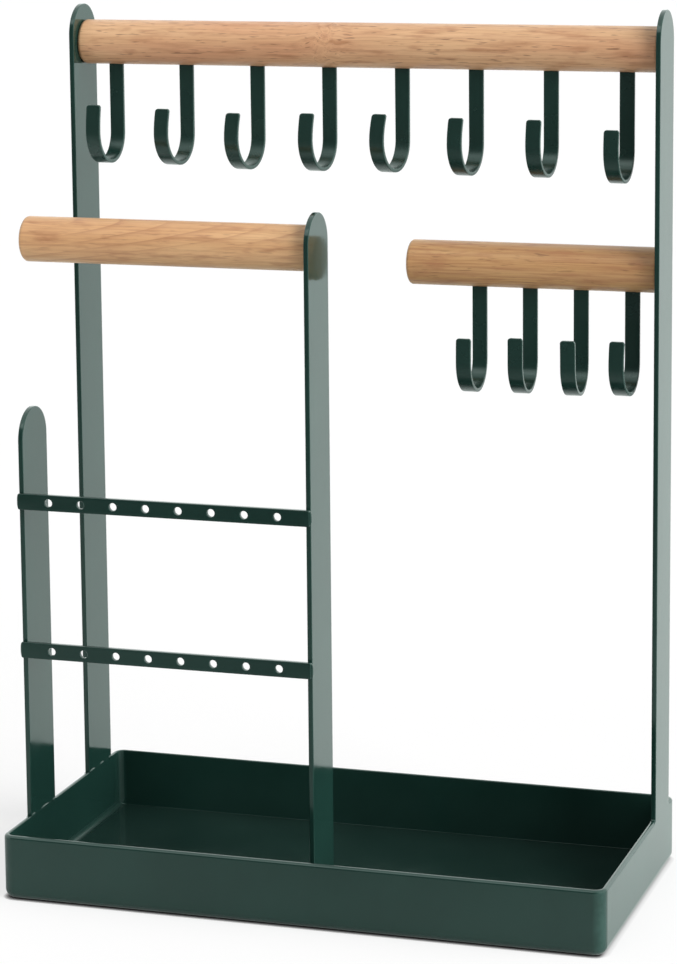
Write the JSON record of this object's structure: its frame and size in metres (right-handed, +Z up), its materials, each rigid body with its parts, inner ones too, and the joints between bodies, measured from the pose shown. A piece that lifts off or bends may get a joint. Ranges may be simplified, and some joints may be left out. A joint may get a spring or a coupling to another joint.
{
  "type": "jewelry stand",
  "caption": "Open jewelry stand: a shallow metal tray with flat posts, wooden rails, J hooks for necklaces and perforated earring bars.",
  "frame": {"origin": "centre of the tray's underside, on the table", "axes": "+X to the right along the rails, +Y from the front to the back, +Z up"},
  "size_m": [0.245, 0.126, 0.3485],
  "materials": {
    "green_metal": "satin",
    "wood": "satin"
  },
  "bodies": {
    "root": {"tray": "green_metal", "left_tall_post": "green_metal", "left_short_post": "green_metal", "middle_post": "green_metal", "right_tall_post": "green_metal", "top_rail": "wood", "bracelet_rail": "wood", "lower_rail": "wood", "rail_studs": "green_metal", "upper_earring_bar": "green_metal", "lower_earring_bar": "green_metal", "top_hook_1": "green_metal", "top_hook_2": "green_metal", "top_hook_3": "green_metal", "top_hook_4": "green_metal", "top_hook_5": "green_metal", "top_hook_6": "green_metal", "top_hook_7": "green_metal", "top_hook_8": "green_metal", "lower_hook_1": "green_metal", "lower_hook_2": "green_metal", "lower_hook_3": "green_metal", "lower_hook_4": "green_metal"}
  },
  "joints": []
}
